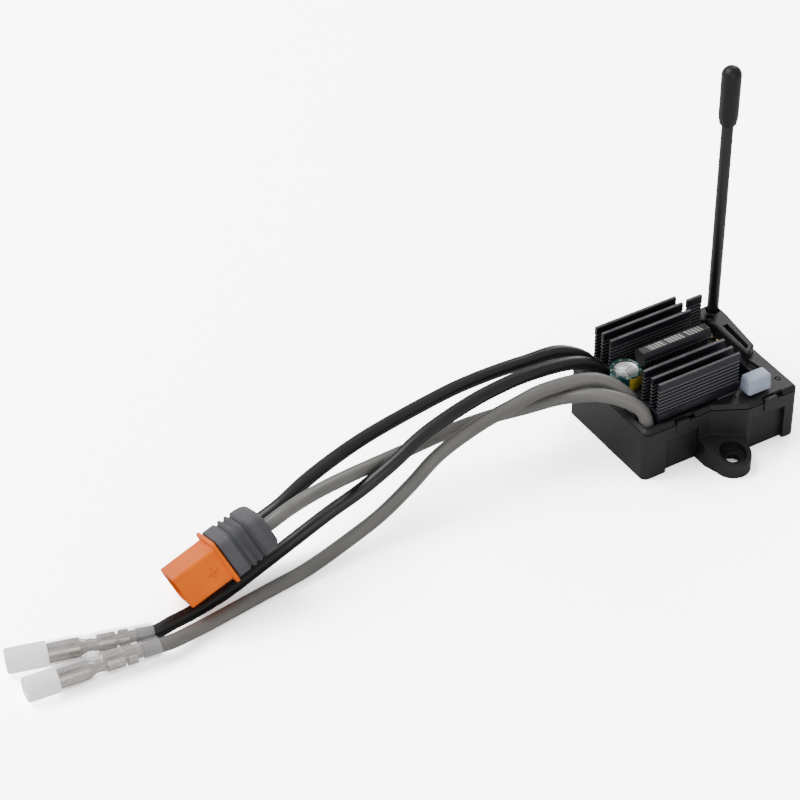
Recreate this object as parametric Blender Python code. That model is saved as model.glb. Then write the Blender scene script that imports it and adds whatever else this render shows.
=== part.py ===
"""Electronic speed controller for a small model car: case with a heat sink, a switch, an antenna
and four power leads. Sizes below are in millimetres; the model is made in metres, +Z up."""

import math

import bmesh
import bpy
from mathutils import Matrix, Vector

MM = 0.001

# ---- driving dimensions, mm ----
CASE_X = 18.5            # half length of the case
CASE_LEFT = -13.7        # front wall of the left part
CASE_RIGHT = -17.4       # front wall of the wider right part
CASE_BACK = 13.7
STEP_FROM = -1.7         # where the slanted wall starts and ends
STEP_TO = 5.5
WALL = 1.0
POST = 1.0               # how far the walls stand back between the corner posts
LEDGE_Z = 8.75
SEAM_Z = 12.0
GAP = 0.3
COVER_Z = 13.0
BLOCK_Z = 15.8
BOARD_Z = (8.0, 9.6)
EAR_Y = 19.5
EAR_R = 4.0
EAR_X = 0.4
FIN_ROWS = (6.05, 9.0, 11.5)
FIN_T = 0.8
FIN_X = (-14.3, 6.4)
FIN_TOP = 22.8
SINK_Z = (12.9, 15.1)
RIB_PITCH = 0.89
RIBS = 7
CAN_XY = (-13.6, 1.0)
CAN_TOP = 18.6
ANTENNA_XY = (16.4, 10.9)
ANTENNA_Z = (12.2, 64.2, 78.1)
BUTTON_XY = (14.1, 8.7)
CAP_X = (6.7, 12.7)
CAP_Y = (-15.5, -11.8)
CAP_TOP = 17.2
LEAD_R = 1.5
LEAD_STEP = 4.5
PLUG_FACE = (-121.4, 1.7, 7.0)
PLUG_HEADING = 0.0       # degrees
PLUG_PITCH = 21.7
PLUG_ROLL = -35.7
PLUG_NOSE = 10.0
PLUG_BACK = 21.6
PLUG_PITCH_Y = 4.0       # half the spacing of the two contacts
SLEEVES = {
    "1": ((-129.3, -3.3, 3.0), (-157.7, 4.7, 2.8)),
    "2": ((-130.3, -7.6, 3.3), (-158.0, -4.5, 2.8)),
}

for old in list(bpy.data.objects):
    bpy.data.objects.remove(old)

scene = bpy.context.scene
parts = bpy.data.collections.new("electronic_speed_controller")
cutters = bpy.data.collections.new("cutters")
scene.collection.children.link(parts)
scene.collection.children.link(cutters)
cutters.hide_render = True


def material(name, colour, roughness, metallic=0.0):
    made = bpy.data.materials.new(name)
    made.use_nodes = True
    shader = made.node_tree.nodes["Principled BSDF"]
    shader.inputs["Base Color"].default_value = (*colour, 1.0)
    shader.inputs["Roughness"].default_value = roughness
    shader.inputs["Metallic"].default_value = metallic
    return made


CASE = material("case_plastic", (0.02, 0.02, 0.022), 0.45)
ANODISED = material("black_anodised", (0.015, 0.016, 0.02), 0.35, 0.6)
BOARD = material("board", (0.01, 0.03, 0.025), 0.5)
CHIP = material("chip_plastic", (0.02, 0.02, 0.02), 0.5)
PAD = material("thermal_pad", (0.35, 0.4, 0.45), 0.8)
CAN = material("can_aluminium", (0.75, 0.76, 0.78), 0.3, 1.0)
TEAL = material("can_sleeve", (0.02, 0.16, 0.17), 0.3)
RUBBER = material("rubber", (0.02, 0.02, 0.02), 0.8)
GOLD = material("gold_contact", (0.85, 0.62, 0.25), 0.3, 1.0)
TIN = material("tinned_brass", (0.72, 0.68, 0.62), 0.35, 1.0)
SOLDER = material("solder", (0.7, 0.7, 0.7), 0.35, 1.0)
MILKY = material("milky_plastic", (0.72, 0.76, 0.82), 0.4)
BLACK_LEAD = material("black_silicone", (0.015, 0.015, 0.015), 0.4)
GREY_LEAD = material("grey_silicone", (0.33, 0.33, 0.31), 0.45)
ORANGE = material("plug_orange", (0.95, 0.22, 0.02), 0.4)
SHELL_GREY = material("plug_grey", (0.09, 0.09, 0.095), 0.6)


def put(name, bm, look, home=parts):
    """An object of this mesh, its faces facing out."""
    bmesh.ops.recalc_face_normals(bm, faces=bm.faces)
    if bm.calc_volume(signed=True) < 0:
        bmesh.ops.reverse_faces(bm, faces=bm.faces)
    mesh = bpy.data.meshes.new(name)
    bm.to_mesh(mesh)
    bm.free()
    made = bpy.data.objects.new(name, mesh)
    if look:
        mesh.materials.append(look)
    home.objects.link(made)
    if home is cutters:
        made.hide_render = True
        made.display_type = "WIRE"
    return made


def loft(sections):
    """A closed mesh through outlines with the same number of points, in mm."""
    bm = bmesh.new()
    rings = []
    for section in sections:
        rings.append([bm.verts.new(Vector(p) * MM) for p in section])
    count = len(rings[0])
    for low, high in zip(rings, rings[1:]):
        for i in range(count):
            j = (i + 1) % count
            bm.faces.new((low[i], low[j], high[j], high[i]))
    bm.faces.new(list(reversed(rings[0])))
    bm.faces.new(rings[-1])
    return bm


def at_z(outline, z):
    return [(x, y, z) for x, y in outline]


def prism(name, outline, z0, z1, look=None, home=parts):
    return put(name, loft([at_z(outline, z0), at_z(outline, z1)]), look, home)


def rectangle(x0, x1, y0, y1):
    return [(x0, y0), (x1, y0), (x1, y1), (x0, y1)]


def box(name, xs, ys, zs, look=None, home=parts):
    return prism(name, rectangle(xs[0], xs[1], ys[0], ys[1]), zs[0], zs[1], look, home)


def rounded(outline, radius, steps=4):
    """The outline with each corner replaced by an arc."""
    found = []
    count = len(outline)
    sizes = [radius] * count if isinstance(radius, float) else radius
    for i in range(count):
        radius = sizes[i]
        here = Vector(outline[i])
        back = (Vector(outline[i - 1]) - here).normalized()
        ahead = (Vector(outline[(i + 1) % count]) - here).normalized()
        half = back.angle(ahead) / 2
        reach = radius / math.tan(half)
        centre = here + (back + ahead).normalized() * (radius / math.sin(half))
        start = here + back * reach - centre
        end = here + ahead * reach - centre
        turn = math.atan2(start.x * end.y - start.y * end.x, start.dot(end))
        for k in range(steps + 1):
            spot = centre + Matrix.Rotation(turn * k / steps, 2) @ start
            found.append((spot.x, spot.y))
    return found


def inset(outline, by):
    """The outline moved inwards by this much; it runs anticlockwise."""
    found = []
    count = len(outline)
    for i in range(count):
        here = Vector(outline[i])
        one = (here - Vector(outline[i - 1])).normalized()
        two = (Vector(outline[(i + 1) % count]) - here).normalized()
        normal = (Vector((-one.y, one.x)) + Vector((-two.y, two.x))).normalized()
        spread = max(0.3, normal.dot(Vector((-one.y, one.x))))
        spot = here + normal * (by / spread)
        found.append((spot.x, spot.y))
    return found


def disc(centre, radius, steps=24):
    turn = [2 * math.pi * k / steps for k in range(steps)]
    return [(centre[0] + radius * math.cos(a), centre[1] + radius * math.sin(a)) for a in turn]


def turned(name, profile, centre, look=None, home=parts, steps=24):
    """A round piece about a vertical axis; profile is (radius, z), closed, radius 0 at its ends."""
    bm = bmesh.new()
    rings = []
    for radius, z in profile:
        if radius < 1e-6:
            rings.append([bm.verts.new(Vector((centre[0], centre[1], z)) * MM)])
        else:
            points = at_z(disc(centre, radius, steps), z)
            rings.append([bm.verts.new(Vector(p) * MM) for p in points])
    for low, high in zip(rings, rings[1:]):
        for i in range(steps):
            j = (i + 1) % steps
            if len(low) == 1:
                bm.faces.new((low[0], high[j], high[i]))
            elif len(high) == 1:
                bm.faces.new((low[i], low[j], high[0]))
            else:
                bm.faces.new((low[i], low[j], high[j], high[i]))
    made = put(name, bm, look, home)
    smooth(made)
    return made


def smooth(made, degrees=35):
    edges = made.data
    for face in edges.polygons:
        face.use_smooth = True
    edges.set_sharp_from_angle(angle=math.radians(degrees))
    return made


def join(made, other):
    step = made.modifiers.new("join_" + other.name, "BOOLEAN")
    step.operation = "UNION"
    step.solver = "EXACT"
    step.object = other


def cut(made, other):
    step = made.modifiers.new("cut_" + other.name, "BOOLEAN")
    step.operation = "DIFFERENCE"
    step.solver = "EXACT"
    step.object = other


def place(made, matrix):
    made.data.transform(matrix)
    return made


# ---- lower case ----
corners = [
    (-CASE_X, CASE_LEFT),
    (STEP_FROM, CASE_LEFT),
    (STEP_TO, CASE_RIGHT),
    (CASE_X, CASE_RIGHT),
    (CASE_X, CASE_BACK),
    (-CASE_X, CASE_BACK),
]


def plan_in(by):
    """The outline of the case, moved inwards by this much."""
    sizes = [1.4, 1.2, 1.2, 1.4, 1.4, 0.7]
    return rounded(inset(corners, by), [max(0.3, size - by) for size in sizes])


plan = plan_in(0)
lower_case = prism("lower_case", plan, 0, SEAM_Z - 0.15, CASE)


def ear(name, x, side):
    """A screw ear: U outline, sloping top. side is -1 at the front and 1 at the back."""
    tip = disc((x, side * EAR_Y), EAR_R, 32)
    front = [p for p in tip if side * (p[1] - side * EAR_Y) >= -1e-6]
    front.sort(key=lambda p: p[0] * side)
    root = side * 12.6
    outline = [(x + side * 6.0, root)] + list(reversed(front)) + [(x - side * 5.4, root)]
    low = at_z(outline, 0)
    high = [(px, py, 4.1 - 0.286 * (side * py - EAR_Y)) for px, py in outline]
    return put(name, loft([low, high]), None, cutters)


for side, name in ((-1, "front"), (1, "back")):
    middle = (-side * EAR_X, side * EAR_Y)
    join(lower_case, ear("ear_" + name, middle[0], side))
    cut(lower_case, prism("ear_sink_" + name, disc(middle, 3.0), 2.4, 8, None, cutters))
    cut(lower_case, prism("ear_hole_" + name, disc(middle, 1.45), -1, 3, None, cutters))
    cut(lower_case, prism("ear_pocket_" + name, disc(middle, 2.6), -1, 1.4, None, cutters))

for name, xs, ys in (
    ("clip_left", (-10.6, -7.5), (-13.95, -13.1)),
    ("clip_right", (9.5, 12.7), (-17.65, -16.8)),
):
    join(lower_case, box(name, xs, ys, (9.8, 12.7), None, cutters))

for name, xs, ys in (
    ("wall_left", (-12.8, -4.5), (-20, CASE_LEFT + POST)),
    ("wall_right", (6.5, 15.2), (-25, CASE_RIGHT + POST)),
    ("wall_back_left", (-12.8, -6.4), (CASE_BACK - POST, 20)),
    ("wall_back_right", (6.4, 12.8), (CASE_BACK - POST, 20)),
    ("wall_end", (CASE_X - POST, 25), (-12.0, 9.0)),
):
    cut(lower_case, box(name, xs, ys, (-1, LEDGE_Z), None, cutters))

cut(lower_case, prism("room_high", plan_in(WALL), 7.7, 20, None, cutters))
cut(lower_case, prism("room_low", plan_in(WALL + POST), WALL, 8.4, None, cutters))

# ---- board and what stands on it ----
main_board = prism("main_board", plan_in(WALL + GAP), *BOARD_Z, BOARD)
cut(main_board, prism("board_notch", disc((0, 14.4), 3.0), 5, 12, None, cutters))
on_board = BOARD_Z[1] + GAP
for i, (x, y) in enumerate(((-7.0, -5.8), (1.5, -5.8), (-7.0, 5.8), (1.5, 5.8))):
    box(f"mosfet_{i + 1}", (x - 2.6, x + 2.6), (y - 3, y + 3), (on_board, 11.6), CHIP)
box("thermal_pad", (-8.8 - 3, 4.6), (-9.5, 9.5), (11.9, 12.6), PAD)
cut(bpy.data.objects["thermal_pad"], prism("pad_notch", disc(CAN_XY, 4.1), 9, 14, None, cutters))

can_low = on_board + 0.6
turned(
    "capacitor_can",
    [(0, can_low), (2.6, can_low), (2.95, can_low + 0.3), (2.95, 17.9), (2.7, 18.15), (0, 18.15)],
    CAN_XY,
    CAN,
    steps=32,
)
turned(
    "capacitor_bung",
    [(0, on_board), (2.9, on_board), (2.9, can_low - GAP), (0, can_low - GAP)],
    CAN_XY,
    RUBBER,
    steps=32,
)


def ring(name, profile, centre, look, home=parts, steps=32):
    """A hollow round piece: the profile is a closed loop that stays off the axis."""
    bm = bmesh.new()
    loops = []
    for radius, z in profile:
        loops.append([bm.verts.new(Vector(p) * MM) for p in at_z(disc(centre, radius, steps), z)])
    for k in range(len(loops)):
        low = loops[k]
        high = loops[(k + 1) % len(loops)]
        for i in range(steps):
            j = (i + 1) % steps
            bm.faces.new((low[i], low[j], high[j], high[i]))
    return smooth(put(name, bm, look, home))


ring(
    "capacitor_sleeve",
    [(3.25, on_board + 0.2), (3.5, on_board + 0.2), (3.5, 18.4), (3.3, CAN_TOP), (2.75, CAN_TOP),
     (2.75, 18.45), (3.25, 18.3)],
    CAN_XY,
    TEAL,
)

# ---- heat sink ----
heat_sink = box("heat_sink", FIN_X, (-11.9, 11.9), SINK_Z, ANODISED)
grooves = [FIN_TOP - 2.0 - RIB_PITCH * k for k in range(RIBS)]


def fin_outline(middle):
    """Across a fin: a plain band at the top, then ribs on both faces, as (y, z)."""
    half = FIN_T / 2
    left = [(middle - half, SINK_Z[0] + 0.6)]
    right = [(middle + half, SINK_Z[0] + 0.6)]
    for z in reversed(grooves):
        for reach, height in ((half, -0.7), (half - 0.22, -0.6), (half - 0.22, -0.14), (half, -0.04)):
            left.append((middle - reach, z + height))
            right.append((middle + reach, z + height))
    left.append((middle - half, FIN_TOP - 0.1))
    right.append((middle + half, FIN_TOP - 0.1))
    left.append((middle - half + 0.1, FIN_TOP))
    right.append((middle + half - 0.1, FIN_TOP))
    return right + list(reversed(left))


def along_x(name, outline, x0, x1, look=None, home=parts):
    sections = [[(x, y, z) for y, z in outline] for x in (x0, x1)]
    return put(name, loft(sections), look, home)


for i, row in enumerate(FIN_ROWS):
    for side in (-1, 1):
        fin = along_x(f"fin_{i}_{side + 1}", fin_outline(side * row), *FIN_X, None, cutters)
        join(heat_sink, fin)
join(heat_sink, box("sink_tongue", (5.0, 11.7), (7.9, 10.5), (SINK_Z[0] + 0.2, 14.8), None, cutters))
join(heat_sink, along_x("fin_short", fin_outline(9.2), 7.8, 11.6, None, cutters))
head = [(1.95 * math.cos(a), 20.85 + 1.95 * math.sin(a)) for a in
        [math.radians(-90 + 15 * k) for k in range(24)]]
head = [(y, min(z, 22.5)) for y, z in head]
head = [p for i, p in enumerate(head) if p[1] < 22.5 or abs(p[0]) > 0.9]
join(heat_sink, along_x("bar_head", head, -10.9, 6.35, None, cutters))
join(heat_sink, box("bar_stem", (-9.2, 6.2), (-0.8, 0.8), (14.5, 19.6), None, cutters))
join(heat_sink, box("low_rib", (-9.1, 6.1), (2.6, 3.4), (14.6, 19.4), None, cutters))
cut(heat_sink, prism("sink_notch", disc(CAN_XY, 4.0, 32), 12, 18.7, None, cutters))

# ---- cover ----
lid_low = SEAM_Z + 0.15
cover_edge = [
    at_z(plan, lid_low),
    at_z(plan, lid_low + 0.15),
    at_z(plan_in(0.7), COVER_Z),
]
top_cover = put("top_cover", loft(cover_edge), CASE)
block = [
    (13.6, -5.4), (14.6, -5.3), (16.8, -3.5), (18.2, 8.4), (18.2, 11.6), (17.0, 12.9), (13.2, 12.9), (12.4, 9.8),
    (13.5, 6.8),
]
slot = [(14.2, -4.2), (15.3, -3.5), (16.0, 5.0), (14.7, 5.0)]
block_solid = put(
    "block",
    loft([at_z(block, 12.4), at_z(block, BLOCK_Z - 0.4), at_z(inset(block, 0.35), BLOCK_Z)]),
    None,
    cutters,
)
join(top_cover, block_solid)
join(top_cover, ring("button_rim", [(0.8, 15.2), (1.2, 15.2), (1.2, 16.0), (0.8, 16.0)], BUTTON_XY,
                     None, cutters, 24))
lip = [(13.4, 6.0), (13.8, -5.0), (14.5, -9.0), (15.0, -8.9), (14.3, -5.0), (14.0, 6.0)]
join(top_cover, prism("lip", lip, 12.5, 14.0, None, cutters))
opening = [(-17.5, -12.25), (12.6, -12.25), (13.1, 8.9), (12.1, 9.2), (11.9, 12.25), (-17.5, 12.25)]
cut(top_cover, prism("opening", rounded(opening, 0.6, 2), 10, 20, None, cutters))
cut(top_cover, prism("servo_slot", slot, 10, 20, None, cutters))
cut(top_cover, prism("button_hole", disc(BUTTON_XY, 0.95), 10, 20, None, cutters))
cut(top_cover, prism("antenna_hole", disc(ANTENNA_XY, 1.57), 10, 20, None, cutters))
cut(top_cover, box("lever_slot", (8.2, 13.0), (-14.45, -12.75), (10, 20), None, cutters))
cut(top_cover, box("notch_left", (-10.95, -5.8), (-20, -12.8), (10, 20), None, cutters))
cut(top_cover, box("notch_right", (9.15, 14.4), (-25, -16.5), (10, 20), None, cutters))
cut(top_cover, box("mark_on", (4.35, 4.65), (-14.0, -12.9), (COVER_Z - 0.25, 20), None, cutters))
cut(top_cover, ring("mark_off", [(0.35, 12.75), (0.65, 12.75), (0.65, 14), (0.35, 14)], (16.0, -13.2),
                    None, cutters, 20))

# ---- sockets, switch, button ----
prism("servo_socket", inset(slot, GAP), on_board, 11.4, CHIP)
for i in range(3):
    x = 15.0 + 0.12 * (i - 1)
    y = 0.3 + 2.54 * (i - 1)
    box(f"servo_pin_{i + 1}", (x - 0.3, x + 0.3), (y - 0.3, y + 0.3), (11.7, 13.8), GOLD)
box("receiver_board", (8.2, 13.1 - GAP), (-2.5, 7.6), (12.3, 13.1), BOARD)
for i in range(3):
    spot = (12.2, 1.2 + 2.1 * i)
    turned(
        f"header_pin_{i + 1}",
        [(0, 13.4), (0.55, 13.4), (0.4, 13.8), (0.2, 14.2), (0, 14.25)],
        spot,
        GOLD,
        steps=16,
    )
switch_body = box("switch_body", (6.6, 14.6), (-15.3, -11.9), (on_board, 11.8), CHIP)
cut(switch_body, box("switch_track", (8.2, 13.0), (-14.45, -12.75), (10.5, 20), None, cutters))
box("switch_slider", (8.6, 10.6), (-14.1, -13.1), (10.8, 15.9), MILKY)
cap_plan = rounded(rectangle(*CAP_X, *CAP_Y), 0.7, 3)
switch_cap = put(
    "switch_cap",
    loft([at_z(cap_plan, 13.3), at_z(cap_plan, 16.5), at_z(inset(cap_plan, 0.35), 17.05),
          at_z(inset(cap_plan, 0.6), CAP_TOP)]),
    MILKY,
)
cut(switch_cap, box("cap_room", (8.3, 10.9), (-14.4, -12.8), (12, 16.2), None, cutters))
box("tact_switch_body", (12.4, 15.8), (7.4, 9.5), (on_board, 11.8), CHIP)
turned(
    "bind_button",
    [(0, 12.4), (0.65, 12.4), (0.65, 15.25), (0.5, 15.4), (0, 15.4)],
    BUTTON_XY,
    MILKY,
    steps=20,
)

# ---- antenna ----
tube_low, cap_low, cap_high = ANTENNA_Z
ring(
    "antenna_tube",
    [(0.8, tube_low), (1.27, tube_low), (1.27, 71.0), (0.8, 71.0)],
    ANTENNA_XY,
    CASE,
    steps=24,
)
dome = [(2.13 * math.cos(a), cap_high - 2.13 + 2.13 * math.sin(a)) for a in
        [math.radians(15 * k) for k in range(6)]]
turned(
    "antenna_cap",
    [(0, 71.6), (1.57, 71.3), (1.57, cap_low), (1.75, cap_low), (2.13, 66.0)] + dome + [(0, cap_high)],
    ANTENNA_XY,
    CASE,
)
turned(
    "antenna_wire",
    [(0, on_board), (0.42, on_board), (0.42, 70.0), (0, 70.1)],
    ANTENNA_XY,
    BLACK_LEAD,
    steps=12,
)

# ---- plug: local x runs back from the mating face, y across it, z up through it ----
plug_turn = (
    Matrix.Rotation(math.radians(PLUG_HEADING), 4, "Z")
    @ Matrix.Rotation(math.radians(-PLUG_PITCH), 4, "Y")
    @ Matrix.Rotation(math.radians(PLUG_ROLL), 4, "X")
)
plug_at = Matrix.Translation(Vector(PLUG_FACE) * MM) @ plug_turn


def plug_point(x, y, z=0.0):
    spot = plug_at @ (Vector((x, y, z)) * MM)
    return tuple(spot / MM)


def plug_piece(name, outline, spans, look=None, home=parts):
    """A piece along the plug; spans is (x, inset) and outline is (y, z)."""
    sections = [[(x, y, z) for y, z in inset(outline, by)] for x, by in spans]
    return place(put(name, loft(sections), look, home), plug_at)


nose = [(-7.8, -3.6), (7.0, -3.6), (7.8, -2.2), (7.8, 2.2), (7.0, 3.6), (-7.8, 3.6)]
nose = rounded(nose, 0.45, 2)
housing = plug_piece("connector_housing", nose, ((0, 0.15), (0.3, 0), (PLUG_NOSE + 0.4, 0)), ORANGE)
flange = rounded(rectangle(-8.7, 8.7, -4.8, 4.8), 1.0, 3)
join(housing, plug_piece("flange", flange, ((PLUG_NOSE, 0.1), (PLUG_NOSE + 0.2, 0),
                                            (PLUG_NOSE + 0.6, 0), (PLUG_NOSE + 0.8, 0.1)), None, cutters))
mouth = rounded([(-6.9, -2.7), (6.6, -2.7), (6.9, -1.9), (6.9, 1.9), (6.6, 2.7), (-6.9, 2.7)], 0.3, 2)
cut(housing, plug_piece("mouth", mouth, ((-2, 0), (8.0, 0)), None, cutters))
for name, xs, zs in (("plus_long", (6.0, 8.4), (-0.2, 0.2)), ("plus_short", (7.0, 7.4), (-1.1, 1.1))):
    bar = box(name, xs, (-8.0, -7.5), zs, None, cutters)
    join(housing, place(bar, plug_at))
upright = Matrix.Rotation(math.radians(90), 4, "Y")
for name, side in (("positive", -1), ("negative", 1)):
    contact = turned(
        "connector_contact_" + name,
        [(0, 5.0), (1.15, 5.0), (1.15, 1.0), (1.4, 1.0), (1.75, 1.4), (1.75, 7.7), (0, 7.7)],
        (0, 0),
        GOLD,
    )
    place(contact, plug_at @ Matrix.Translation(Vector((0, side * PLUG_PITCH_Y, 0)) * MM) @ upright)
body = rounded(rectangle(-8.2, 8.2, -4.5, 4.5), 2.2, 4)
spans = [(PLUG_NOSE + 0.8 + GAP, 0), (13.9, 0)]
for k in range(3):
    start = 13.9 + 1.5 * k
    spans += [(start + 0.3, 0.45), (start + 0.75, 0.45), (start + 1.05, 0.05)]
    spans += [(start + 1.45, 0.05 + 0.1 * k)]
spans += [(19.2, 0.3), (20.8, 0.6), (PLUG_BACK, 1.1)]
backshell = plug_piece("connector_backshell", body, spans, SHELL_GREY)
for side in (-1, 1):
    bore = prism(f"bore_{side + 1}", disc((0, 0), 1.85), PLUG_BACK - 2.2, PLUG_BACK + 3, None, cutters)
    place(bore, plug_at @ Matrix.Translation(Vector((0, side * PLUG_PITCH_Y, 0)) * MM) @ upright)
    cut(backshell, bore)


# ---- bullet terminals and their sleeves: local z runs from the lead's end to the front ----
def sleeve_frame(key):
    rear = Vector(SLEEVES[key][0])
    front = Vector(SLEEVES[key][1])
    turn = (front - rear).to_track_quat("Z", "Y").to_matrix().to_4x4()
    return Matrix.Translation(rear * MM) @ turn, (front - rear).length


def sleeve_point(key, along):
    frame, _ = sleeve_frame(key)
    return tuple(frame @ Vector((0, 0, along * MM)) / MM)


for key in SLEEVES:
    frame, length = sleeve_frame(key)
    terminal = turned(
        "bullet_terminal_" + key,
        [(0, 3.9), (1.1, 3.9), (1.1, 5.8), (1.6, 6.0), (1.75, 6.4), (1.75, 11.4), (1.2, 12.4),
         (1.2, 13.6), (1.98, 14.6), (1.98, 21.6), (1.6, 21.6), (1.6, 15.2), (0, 15.2)],
        (0, 0),
        TIN,
    )
    slot = box("barrel_slot_" + key, (-0.2, 0.2), (0.5, 4), (15.6, 24), None, cutters)
    cut(terminal, slot)
    for item in (terminal, slot):
        place(item, frame)
    sleeve = ring(
        "terminal_sleeve_" + key,
        [(1.85, 0), (2.15, 0), (2.2, 4.6), (2.4, 6.0), (2.4, 11.6), (2.15, 12.6), (2.2, 13.4),
         (2.6, 14.4), (2.62, length - 1), (2.5, length), (2.0, length), (1.9, 22.0), (2.28, 21.9),
         (2.28, 14.3), (1.85, 13.4), (1.85, 12.6), (2.1, 11.4), (2.1, 6.0), (1.85, 4.8)],
        (0, 0),
        MILKY,
        steps=28,
    )
    place(sleeve, frame)

# ---- leads ----
LEAD_LOW = 10.7
ROUTES = {
    "lead_black_1": [
        (-15.9, 10.5, LEAD_LOW), (-15.9, 10.5, 12.5), (-16.6, 10.7, 15.5), (-23, 12, 19.5),
        (-31.5, 12.5, 20), (-40, 13, 20), (-48.5, 13.3, 19.5), (-54, 13.3, 18.8),
        (-62.5, 13, 17.7), (-71, 12, 17), (-79.7, 10, 16.5), (-88.4, 7.3, 16),
        plug_point(PLUG_BACK + 5, PLUG_PITCH_Y), plug_point(PLUG_BACK + 1, PLUG_PITCH_Y),
        plug_point(PLUG_BACK - 1.6, PLUG_PITCH_Y),
    ],
    "lead_black_2": [
        (-15.9, 6.3, LEAD_LOW), (-15.9, 6.3, 12.5), (-16.5, 6.2, 15.5), (-22.3, 6.6, 19.8),
        (-33.5, 7.4, 21), (-42.2, 7.5, 20.6), (-50.3, 6.7, 20), (-61.5, 5.2, 18),
        (-69.3, 3.8, 15.2), (-77, 3.5, 11.8), (-84.6, 4.4, 8), (-94.8, 4.2, 4),
        (-102.8, 2.8, 2.4), (-111.2, 0.3, 2.2), (-120.5, -2.1, 2.75),
        (-125.2, -2.85, 3), sleeve_point("1", -0.5), sleeve_point("1", 3.5),
    ],
    "lead_grey_a": [
        (-15.9, -5.3, LEAD_LOW), (-15.9, -5.3, 12.5), (-16.4, -4.5, 15.5), (-21.6, -0.3, 19.6),
        (-32.2, 3.3, 19.2), (-40.4, 4.1, 17.4), (-48.4, 4, 16), (-59, 3, 13.2),
        (-66.8, 1.4, 9.6), (-74.7, 0.2, 6.1), (-83, -0.6, 3.6), (-93.8, -2.2, 1.9),
        (-102.4, -3.4, 1.8), (-111, -4.8, 2), (-121, -6.6, 2.5),
        sleeve_point("2", -2.5), sleeve_point("2", 0), sleeve_point("2", 3.5),
    ],
    "lead_grey_b": [
        (-15.9, -10.4, LEAD_LOW), (-15.9, -10.2, 12.5), (-16.6, -8.9, 15.5), (-22.2, -3.8, 18),
        (-29, 1.6, 16.7), (-36.2, 5.7, 14.1), (-44.2, 8.9, 12.4), (-55, 9.8, 11.7),
        (-63, 8.8, 12.2), (-71.5, 7.2, 13.4), (-80.5, 4.5, 15.6), (-89.9, 1.2, 17.9),
        plug_point(PLUG_BACK + 5, -PLUG_PITCH_Y), plug_point(PLUG_BACK + 1, -PLUG_PITCH_Y),
        plug_point(PLUG_BACK - 1.6, -PLUG_PITCH_Y),
    ],
}


def smooth_path(points, step):
    """Points along a smooth curve through these, about a step apart."""
    dense = []
    ends = [2 * Vector(points[0]) - Vector(points[1])]
    ends += [Vector(p) for p in points]
    ends += [2 * ends[-1] - ends[-2]]
    for a, b, c, d in zip(ends, ends[1:], ends[2:], ends[3:]):
        ta = max(1e-6, (b - a).length) ** 0.5
        tb = (c - b).length ** 0.5
        tc = max(1e-6, (d - c).length) ** 0.5
        one = ((b - a) / ta - (c - a) / (ta + tb) + (c - b) / tb) * tb
        two = ((c - b) / tb - (d - b) / (tb + tc) + (d - c) / tc) * tb
        for k in range(12):
            t = k / 12
            dense.append(
                b * (2 * t**3 - 3 * t**2 + 1) + one * (t**3 - 2 * t**2 + t)
                + c * (3 * t**2 - 2 * t**3) + two * (t**3 - t**2)
            )
    dense.append(ends[-2])
    total = sum((q - p).length for p, q in zip(dense, dense[1:]))
    count = max(4, round(total / step))
    found = [dense[0]]
    run = 0.0
    for p, q in zip(dense, dense[1:]):
        long = (q - p).length
        while len(found) < count and run + long >= total * len(found) / count:
            found.append(p.lerp(q, (total * len(found) / count - run) / long))
        run += long
    found.append(dense[-1])
    return found


def tube(name, points, radius, look):
    curve = bpy.data.curves.new(name, "CURVE")
    curve.dimensions = "3D"
    curve.bevel_depth = radius * MM
    curve.bevel_resolution = 2
    curve.use_fill_caps = True
    line = curve.splines.new("POLY")
    line.points.add(len(points) - 1)
    for spot, point in zip(line.points, points):
        spot.co = (*(Vector(point) * MM), 1.0)
    line.use_smooth = True
    made = bpy.data.objects.new(name, curve)
    curve.materials.append(look)
    parts.objects.link(made)
    return made


for name, route in ROUTES.items():
    look = GREY_LEAD if "grey" in name else BLACK_LEAD
    tube(name, smooth_path(route, LEAD_STEP), LEAD_R, look)
    turned(
        name.replace("lead", "solder"),
        [(0, on_board), (1.5, on_board), (1.2, 10.2), (0.6, 10.4), (0, 10.4)],
        (route[0][0], route[0][1]),
        SOLDER,
        steps=16,
    )
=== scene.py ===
# %% [markdown]
# # A small speed controller, piece by piece
# The controller drives a motor in a model car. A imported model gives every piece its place,
# and this lesson dresses it: each cell says what a piece is and makes it look right.
# Blender works in metres, with +Z up. Most sizes here are the maker's millimetres, and MM
# turns them into metres.

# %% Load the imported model
import math

import bmesh
import bpy
from mathutils import Matrix, Vector


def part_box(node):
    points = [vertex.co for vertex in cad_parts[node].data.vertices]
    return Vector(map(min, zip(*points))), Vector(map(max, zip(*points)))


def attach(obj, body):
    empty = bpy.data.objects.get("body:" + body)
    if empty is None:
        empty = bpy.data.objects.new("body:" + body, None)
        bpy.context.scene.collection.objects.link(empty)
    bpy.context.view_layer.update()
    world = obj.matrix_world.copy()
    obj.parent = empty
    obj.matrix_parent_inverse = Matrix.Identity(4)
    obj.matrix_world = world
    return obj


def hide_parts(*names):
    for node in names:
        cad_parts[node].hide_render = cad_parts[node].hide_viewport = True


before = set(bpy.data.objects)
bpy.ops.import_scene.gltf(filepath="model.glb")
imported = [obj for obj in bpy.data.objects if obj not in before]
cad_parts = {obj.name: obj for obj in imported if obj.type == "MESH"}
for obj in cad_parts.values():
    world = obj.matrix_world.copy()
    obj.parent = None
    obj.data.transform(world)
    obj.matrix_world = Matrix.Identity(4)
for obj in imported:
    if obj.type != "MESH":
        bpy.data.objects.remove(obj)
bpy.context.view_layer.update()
MM = 0.001
scene = bpy.context.scene
print("nodes:", len(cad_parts))

# %% [markdown]
# ## Camera
# A long lens from above the front left corner keeps parallel edges nearly parallel.
# A camera could be aimed with a constraint, but plain angles are easier to read and keep:
# a heading, a downward tilt and the distance from a point on the floor.

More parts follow.
